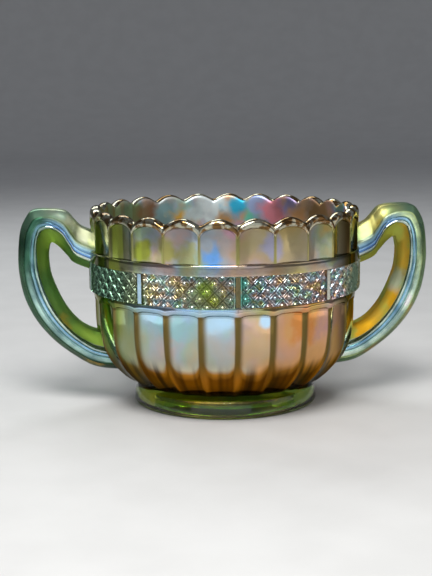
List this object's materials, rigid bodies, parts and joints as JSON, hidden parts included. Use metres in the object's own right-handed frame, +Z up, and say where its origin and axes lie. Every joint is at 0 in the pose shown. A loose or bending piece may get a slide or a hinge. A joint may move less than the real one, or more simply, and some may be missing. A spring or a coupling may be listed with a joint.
{
  "type": "carnival glass bowl",
  "caption": "Open pressed-glass sugar bowl on a foot ring, with a fluted body, scalloped lip, raised diamond band and two ear handles, in green glass with an iridescent film.",
  "frame": {"origin": "centre of the foot ring's underside, on the surface the bowl stands on", "axes": "+Z up through the bowl's mouth, +X from handle to handle, -Y is the front mould seam"},
  "size_m": [0.1658, 0.1102, 0.0797],
  "materials": {
    "iridescent_glass": "green pressed glass under a gold to lavender iridescent film",
    "band_glass": "green pressed glass under a silvery iridescent film",
    "green_glass": "clear yellow-green glass, fire-polished",
    "handle_glass": "clear green glass with a light blue and gold iridescent film"
  },
  "bodies": {
    "root": {"scalloped_collar": "iridescent_glass", "diamond_band": "band_glass", "lower_bowl": "iridescent_glass", "foot_ring": "green_glass", "left_handle": "handle_glass", "right_handle": "handle_glass"}
  },
  "joints": []
}
